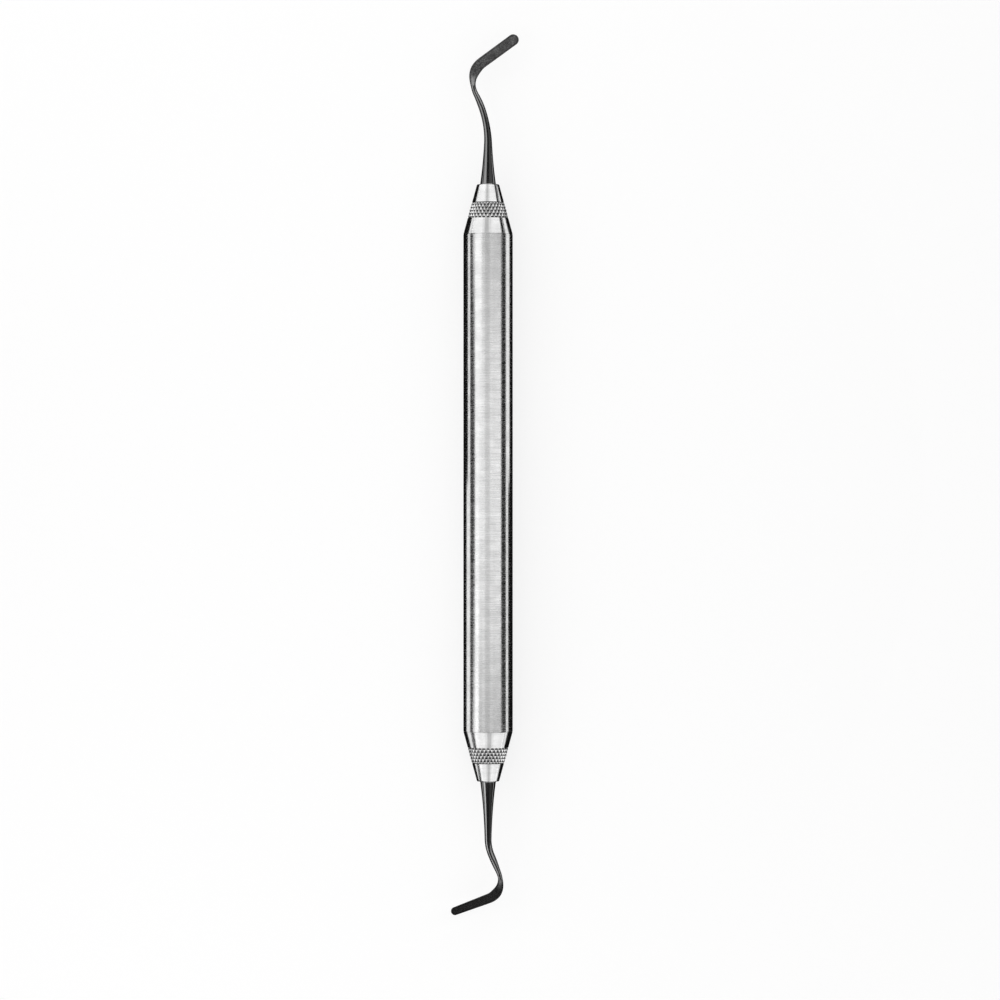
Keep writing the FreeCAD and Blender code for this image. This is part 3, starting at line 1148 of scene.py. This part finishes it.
    def outline(self, section: Section) -> list[Pair]:
        """Gives a section's points: flanks of part ellipses, and flats or a round top between them.

        Args:
            section: The section's sizes.

        Returns:
            The points across and up, from the right edge over the top.
        """
        half, level = section.width / 2, section.thickness / 2
        reach = between(half, level, section.flank)
        middle = half - reach
        crease = section.crease
        if crease == 0.0:
            crease = middle + reach * math.sqrt(max(0.0, 1.0 - (level / reach) ** 2))
            crease = max(crease, self.creases[1] * half)
        stop = math.acos(min(1.0, max(-1.0, (crease - middle) / reach)))
        count = self.around // 8
        corner = []
        for step in range(count):
            angle = stop * step / count
            corner.append((middle + reach * math.cos(angle), min(level, reach * math.sin(angle))))
        for step in range(count + 1):
            x = crease * (1.0 - step / count)
            top = reach * math.sqrt(max(0.0, 1.0 - (max(0.0, x - middle) / reach) ** 2))
            corner.append((x, min(level, top)))
        top = corner + [(-x, z) for x, z in corner[-2::-1]]
        return top + [(x, -z) for x, z in top[-2:0:-1]]

    def seat(self, point: Vector, across: Vector, x: float, z: float) -> Point:
        """Puts a section's point in its place on the instrument.

        Args:
            point: The section's middle.
            across: The direction of its width.
            x: The point's place across.
            z: The point's place up.

        Returns:
            The point in the instrument's frame.
        """
        turn = self.end.value
        flat = point + across * x
        return turn * flat.x, turn * (NOSE_PLACE + flat.y), HANDLE_RADIUS + z

    def sweep(self, skin: Skin) -> list[list[int]]:
        """Adds the rings from the tang to the middle of the rounded tip.

        Args:
            skin: The mesh that is being made.

        Returns:
            The indices of the rings.
        """
        tang = [
            (-TANG_LENGTH, TANG_RADIUS - self.tang_chamfer),
            (self.tang_chamfer - TANG_LENGTH, TANG_RADIUS),
            (-self.collar_chamfer, TANG_RADIUS),
        ]
        rings = []
        for place, radius in tang:
            ring = self.outline(Section(2 * radius, 2 * radius, self.creases[0] * radius, 0.0))
            middle = Vector((0.0, place, 0.0))
            rings.append(skin.add([self.seat(middle, Vector((1, 0, 0)), x, z) for x, z in ring]))
        count = math.ceil(self.tip_at / self.spacing)
        for step in range(count + 1):
            distance = self.tip_at * step / count
            middle, heading = self.place(distance)
            across = Vector((heading.y, -heading.x, 0.0))
            section = self.section(distance)
            ring = self.outline(section)
            past = distance - self.grind_at
            blade = ease(past / self.grind_run)
            rims = [self.rim(x, section.width) for x, z in ring]
            points = [self.seat(middle, across, x, z) for x, z in ring]
            bares = [self.bare(past) * (1.0 - rim) for rim in rims]
            # The edge mask carries both the painted shade and the edge wear.
            edges = [blade * rim for rim in rims]
            rings.append(skin.add(points, blade=blade, bare=bares, rim=edges))
        return rings

    def round_tip(self, skin: Skin, last: list[int]) -> None:
        """Closes the blade with the half turn of its last section.

        Args:
            skin: The mesh that is being made.
            last: The indices of the last ring.
        """
        quarter = self.around // 4
        middle, heading = self.place(self.tip_at)
        across = Vector((heading.y, -heading.x, 0.0))
        section = self.section(self.tip_at)
        ring = self.outline(section)
        right = [(step - quarter) % self.around for step in range(2 * quarter + 1)]
        left = [(2 * quarter - index) % self.around for index in right]
        rows = [[last[index] for index in right]]
        for step in range(1, self.tip_steps):
            angle = math.pi * step / self.tip_steps
            outward = across * math.cos(angle) + heading * math.sin(angle)
            inner = right[1:-1]
            rims = [self.rim(ring[index][0], section.width) for index in inner]
            points = [self.seat(middle, outward, *ring[index]) for index in inner]
            new = skin.add(points, blade=1.0, rim=rims)
            rows.append([rows[0][0]] + new + [rows[0][-1]])
        rows.append([last[index] for index in left])
        for first, second in zip(rows, rows[1:]):
            skin.bridge(first[1:-1], second[1:-1], closed=False)
            skin.faces.append((first[0], second[1], first[1]))
            skin.faces.append((first[-2], second[-2], first[-1]))

    def build(self, finish: bpy.types.Material) -> bpy.types.Object:
        """Builds and dresses the working end.

        Args:
            finish: Its material.

        Returns:
            The working end.
        """
        skin = Skin(masks={Mask.BLADE: [], Mask.BARE: [], Mask.RIM: []})
        rings = self.sweep(skin)
        pole = skin.add([round_axis(0.0, 0.0, self.end.value * (NOSE_PLACE - TANG_LENGTH))])
        skin.fan(rings[0], pole[0])
        for first, second in zip(rings, rings[1:]):
            skin.bridge(first, second)
        self.round_tip(skin, rings[-1])
        piece = skin.finish(f"{self.end.label}_black_blade", sharp=40.0)
        install(piece, f"{self.end.label}_working_end", finish)
        return piece


# Studio

Outline = tuple[Pair, ...]


@dataclass(frozen=True)
class Softbox:
    """A flat soft lamp that faces the instrument's axis.

    Angles are from the zenith, to the right. Places and the distance are in metres.
    """

    name: str
    inner_angle: float
    outer_angle: float
    near: float
    far: float
    radiance: float
    distance: float = 0.25

    def build(self, turn: int) -> None:
        """Hangs the lamp.

        Args:
            turn: 1 as it is given, and -1 turned half round above the table.
        """
        middle = math.radians((self.inner_angle + self.outer_angle) / 2)
        half = math.radians(abs(self.outer_angle - self.inner_angle) / 2)
        data = bpy.data.lights.new(f"{self.name}_{turn + 1}", "AREA")
        data.shape = "RECTANGLE"
        data.size = 2 * self.distance * math.tan(half)
        data.size_y = self.far - self.near
        data.energy = self.radiance * data.size * data.size_y * math.pi
        lamp = bpy.data.objects.new(data.name, data)
        lamp.location = (
            turn * self.distance * math.sin(middle),
            turn * (self.near + self.far) / 2,
            self.distance * math.cos(middle),
        )
        lamp.rotation_euler = (0.0, turn * middle, 0.0)
        lamp.visible_camera = False
        bpy.context.scene.collection.objects.link(lamp)


@dataclass
class Studio:
    """The floor, the soft lamps, the dark cards that shape the steel, and the camera.

    The camera's view is given in pixels and millimetres. An outline holds a card's corners: places
    along Y and up for one that stands, and across and along Y for one that lies.
    """

    pixels: int = 1000
    pixels_per_mm: float = 5.19
    middle_x: float = 2.3
    middle_y: float = -3.3
    lens: float = 200.0
    sensor: float = 36.0
    clip_end: float = 50.0
    floor_radius: float = 6.0
    floor_hub: float = 0.2
    floor_flat: float = 0.85
    floor_rim: float = 0.3
    floor_sides: int = 96
    rim_steps: int = 8
    floor_matte: float = 0.27
    floor_glow: float = 0.785
    far_glow: float = 0.985
    floor_fade: Pair = (0.12, 0.3)
    world_level: float = 0.03
    card_level: float = 0.01
    card_height: float = 0.0003
    stand_at: float = 0.15
    side_card: Outline = ((-0.11, 0.0), (-0.11, 0.043), (-0.055, 0.043), (-0.045, 0.08))
    line_card: Outline = ((0.11, 0.009), (0.35, 0.009), (0.35, 0.04), (0.11, 0.04))
    ground_card: Outline = ((-0.025, 0.0), (0.016, 0.0), (0.016, 0.09), (-0.025, 0.09))
    far_card: Outline = ((0.0165, 0.065), (0.16, 0.1055), (0.16, 0.3), (0.0165, 0.3))
    end_boxes: tuple[Softbox, ...] = (
        Softbox("main_far", -30.0, -88.0, 0.155, 0.75, 1.12),
        Softbox("pale_left", -30.0, -18.0, 0.155, 0.75, 1.0),
        Softbox("grey_top", -18.0, 4.0, 0.155, 0.75, 0.64),
        Softbox("pale_right", 4.0, 18.0, 0.155, 0.75, 0.95),
        Softbox("weak_far", 18.0, 71.0, 0.155, 0.75, 1.12),
    )
    middle_boxes: tuple[Softbox, ...] = (
        Softbox("left_upper", -28.0, -78.0, 0.055, 0.155, 1.1),
        Softbox("left_middle", -26.0, -76.0, -0.055, 0.055, 1.1),
        Softbox("left_lower", -44.0, -88.0, -0.155, -0.063, 1.9),
        Softbox("top_left", -26.0, -14.0, -0.066, 0.066, 1.1),
        Softbox("top", -14.0, 8.0, -0.066, 0.066, 0.84),
        Softbox("top_right", 8.0, 22.0, -0.066, 0.066, 1.1),
        Softbox("right_upper", 24.0, 72.0, 0.055, 0.155, 0.17),
        Softbox("right_middle", 22.0, 74.0, -0.055, 0.055, 1.12),
        Softbox("right_lower", 24.0, 72.0, -0.155, -0.055, 0.06),
    )

    def floor_finish(self) -> bpy.types.Material:
        """Gives the floor's white, which keeps a soft part of the shadow near the instrument.

        Returns:
            The floor's material.
        """
        material = bpy.data.materials.new("white_floor")
        material.use_nodes = True
        graph = Graph(material.node_tree)
        matte = graph.node("ShaderNodeBsdfDiffuse")
        length = graph.node("ShaderNodeVectorMath", operation="LENGTH")
        graph.link(graph.node("ShaderNodeTexCoord").outputs["Object"], length.inputs[0])
        far = graph.remap(length.outputs["Value"], self.floor_fade, (0.0, 1.0))
        graph.link(graph.mix(far, grey(self.floor_matte), grey(0.0)), matte.inputs["Color"])
        white = graph.remap(far, (0.0, 1.0), (self.floor_glow, self.far_glow))
        glow = graph.node("ShaderNodeEmission")
        rays = graph.node("ShaderNodeLightPath")
        seen = graph.math("MAXIMUM", rays.outputs["Is Camera Ray"], rays.outputs["Is Glossy Ray"])
        seen = graph.math("MAXIMUM", seen, rays.outputs["Is Transmission Ray"])
        graph.link(graph.math("MULTIPLY", seen, white), glow.inputs["Strength"])
        both = graph.node("ShaderNodeAddShader")
        graph.link(matte.outputs[0], both.inputs[0])
        graph.link(glow.outputs[0], both.inputs[1])
        output = graph.node("ShaderNodeOutputMaterial")
        graph.link(both.outputs[0], output.inputs["Surface"])
        return material

    def build_floor(self) -> None:
        """Lays a round floor whose rim curves up."""
        flat = self.floor_radius * self.floor_flat
        rings = [(self.floor_hub, 0.0), (flat, 0.0)]
        for step in range(1, self.rim_steps + 1):
            turn = math.pi / 2 * step / self.rim_steps
            radius = flat + (self.floor_radius - flat) * math.sin(turn)
            rings.append((radius, self.floor_rim * (1.0 - math.cos(turn))))
        sides = self.floor_sides
        points = [(0.0, 0.0, 0.0)]
        for radius, height in rings:
            for step in range(sides):
                angle = 2 * math.pi * step / sides
                points.append((radius * math.cos(angle), radius * math.sin(angle), height))
        faces = [(0, 1 + step, 1 + (step + 1) % sides) for step in range(sides)]
        for ring in range(len(rings) - 1):
            inner = 1 + ring * sides
            outer = inner + sides
            for step in range(sides):
                after = (step + 1) % sides
                faces.append((inner + step, outer + step, outer + after, inner + after))
        mesh = bpy.data.meshes.new("floor")
        mesh.from_pydata(points, [], faces)
        mesh.shade_smooth()
        floor = bpy.data.objects.new("floor", mesh)
        floor.data.materials.append(self.floor_finish())
        bpy.context.scene.collection.objects.link(floor)

    def card_finish(self) -> bpy.types.Material:
        """Gives the cards' dull black.

        Returns:
            The cards' material.
        """
        material, _, shader = start_finish("black_card")
        shader.inputs["Base Color"].default_value = grey(self.card_level)
        shader.inputs["Roughness"].default_value = 1.0
        shader.inputs["Specular IOR Level"].default_value = 0.0
        return material

    def build_card(
        self,
        name: str,
        corners: list[Point],
        finish: bpy.types.Material,
        shades: bool,
    ) -> None:
        """Puts up a black card that only reflections show.

        Args:
            name: The card's name.
            corners: Its corners in metres.
            finish: Its material.
            shades: Whether it keeps the lamps' light off what is behind it.
        """
        mesh = bpy.data.meshes.new(name)
        mesh.from_pydata(corners, [], [tuple(range(len(corners)))])
        card = bpy.data.objects.new(name, mesh)
        card.data.materials.append(finish)
        card.visible_camera = False
        card.visible_diffuse = False
        card.visible_transmission = False
        card.visible_shadow = shades
        bpy.context.scene.collection.objects.link(card)

    def build_cards(self) -> None:
        """Puts up the cards: two that stand at the sides, and three for each end."""
        finish = self.card_finish()
        half = list(self.side_card)
        outline = half + [(-y, z) for y, z in reversed(half)]
        for side in (-1, 1):
            corners = [(side * self.stand_at, y, z) for y, z in outline]
            self.build_card(f"side_card_{side + 1}", corners, finish, shades=True)
        for end in End:
            turn = end.value
            for name, card in (("ground_card", self.ground_card), ("far_card", self.far_card)):
                corners = [(turn * x, turn * y, self.card_height) for x, y in card]
                self.build_card(f"{name}_{end.label}", corners, finish, shades=False)
            corners = [(turn * self.stand_at, turn * y, z) for y, z in self.line_card]
            self.build_card(f"line_card_{end.label}", corners, finish, shades=True)

    def build_world(self) -> None:
        """Gives the world an even dim grey."""
        world = bpy.data.worlds.new("studio")
        world.use_nodes = True
        background = world.node_tree.nodes["Background"]
        background.inputs["Color"].default_value = grey(self.world_level)
        background.inputs["Strength"].default_value = 1.0
        bpy.context.scene.world = world

    def build_camera(self) -> None:
        """Hangs the camera above the instrument, looking straight down."""
        data = bpy.data.cameras.new("camera")
        data.lens = self.lens
        data.sensor_width = self.sensor
        data.clip_end = self.clip_end
        view = self.pixels / self.pixels_per_mm * MM
        height = HANDLE_RADIUS * MM + view * self.lens / self.sensor
        camera = bpy.data.objects.new("camera", data)
        camera.location = (self.middle_x * MM, self.middle_y * MM, height)
        bpy.context.scene.collection.objects.link(camera)
        bpy.context.scene.camera = camera

    def build(self) -> None:
        """Builds the whole studio."""
        self.build_floor()
        self.build_cards()
        self.build_world()
        for box in self.middle_boxes:
            box.build(1)
        for box in self.end_boxes:
            box.build(1)
            box.build(-1)
        self.build_camera()
        bpy.context.scene.view_settings.view_transform = "Standard"
        log.info("studio: %d lamps", len(self.middle_boxes) + 2 * len(self.end_boxes))


def main() -> None:
    """Builds the studio and every piece of the instrument."""
    logging.basicConfig(level=logging.INFO, format="%(message)s")
    Studio().build()
    build_turning()
    build_clouds()
    build_wear()
    tube_steel = SatinSteel(
        "satin_tube",
        smooth=0.2,
        rough=0.3,
        lines_per_mm=7.0,
        relief_mm=0.00015,
    )
    HandleTube().build(tube_steel.build())
    cone_steel = SatinSteel("turned_cone").build()
    knurled_steel = KnurledSteel("knurled_band").build()
    for end in End:
        NoseCone(end).build(cone_steel, knurled_steel)
    # The two ends wear lit and shaded copies of one coating: the upper's lighter clouds are painted
    # light over the blade's grain, and the lower's even dark is painted shade.
    WorkingEnd(
        End.UPPER,
        straight=7.8,
        lean=26.5,
        lean_radius=20.8,
        neck_run=0.35,
        return_radius=5.65,
        hook=53.8,
        hook_radius=4.45,
        blade_run=8.45,
        waist=1.22,
        neck=0.93,
        blade_width=2.1,
        tip_width=2.15,
    ).build(BlackCoating("cloudy_black").build())
    WorkingEnd(
        End.LOWER,
        straight=11.0,
        lean=22.6,
        lean_radius=8.5,
        neck_run=3.65,
        return_radius=4.35,
        hook=69.5,
        hook_radius=3.5,
        blade_run=7.7,
        waist=1.25,
        neck=0.88,
        blade_width=1.93,
        tip_width=1.57,
    ).build(
        BlackCoating(
            "even_black",
            blade_dark=0.05,
            blade_light=0.1,
            bare_level=0.3,
            rim_level=0.015,
            blade_roughness=0.28,
        ).build()
    )


if __name__ == "__main__":
    main()
